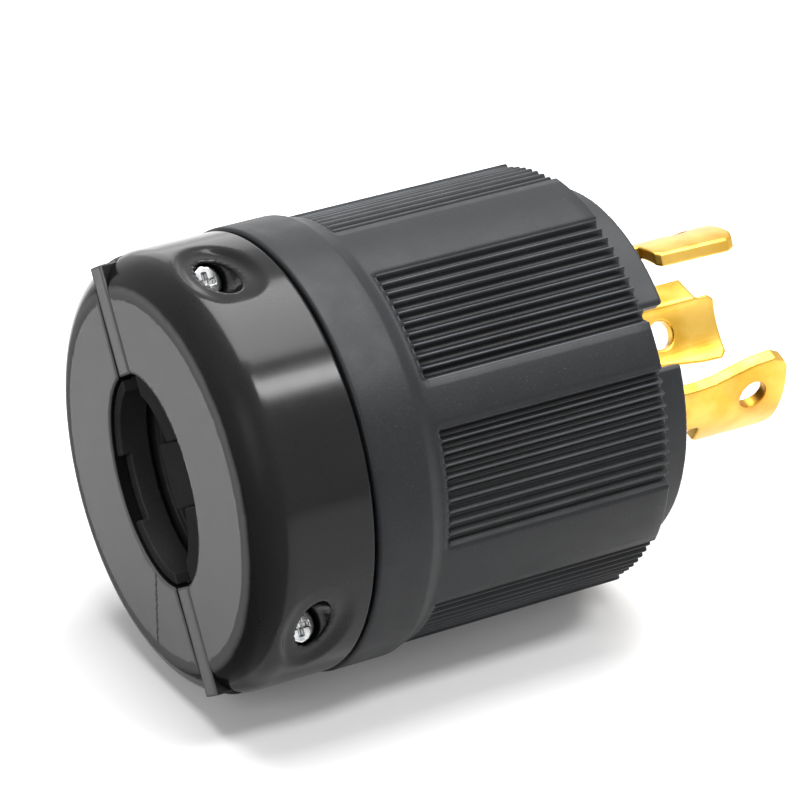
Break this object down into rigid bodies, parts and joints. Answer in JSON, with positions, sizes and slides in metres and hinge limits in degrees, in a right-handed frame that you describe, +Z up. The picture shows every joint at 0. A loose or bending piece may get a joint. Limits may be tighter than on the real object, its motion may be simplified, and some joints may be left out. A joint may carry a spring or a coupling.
{
  "type": "locking power plug",
  "caption": "Round locking power plug: ribbed black housing, curved brass blades with one bent earth blade, split cord clamp cap with an oval cord opening",
  "frame": {"origin": "the centre of the flat cord end on the plug axis, at its lowest point in Z: the plug stands on the rear face of its clamp cap", "axes": "+Z runs up the plug axis from the cord end to the blade tips; the parting line of the clamp cap lies at 58.3 degrees from +X, and the clamp half with the screw heads faces 148.3 degrees from +X"},
  "size_m": [0.0566, 0.0566, 0.0898],
  "materials": {
    "housing_black": "fine matt moulded nylon, black with a cool tint",
    "cap_black": "moulded black, matt end face and semi-gloss side",
    "insert_black": "matt moulded black",
    "carrier_black": "matt moulded black",
    "blade_brass": "blanked and bent brass, lightly tarnished",
    "screw_steel": "bright zinc plate",
    "terminal_steel": "zinc plate"
  },
  "bodies": {
    "root": {"housing_shell": "housing_black", "cord_clamp_half_a": "cap_black", "cord_clamp_half_b": "cap_black", "cord_grip_insert_a": "insert_black", "cord_grip_insert_b": "insert_black", "clamp_screw_1": "screw_steel", "clamp_screw_2": "screw_steel", "clamp_nut_1": "terminal_steel", "clamp_nut_2": "terminal_steel", "contact_carrier": "carrier_black", "line_blade_1": "blade_brass", "line_blade_2": "blade_brass", "ground_blade": "blade_brass", "terminal_plate_1": "terminal_steel", "terminal_screw_1": "screw_steel", "body_screw_1": "screw_steel", "terminal_plate_2": "terminal_steel", "terminal_screw_2": "screw_steel", "body_screw_2": "screw_steel", "terminal_plate_3": "terminal_steel", "terminal_screw_3": "screw_steel", "body_screw_3": "screw_steel"}
  },
  "joints": []
}
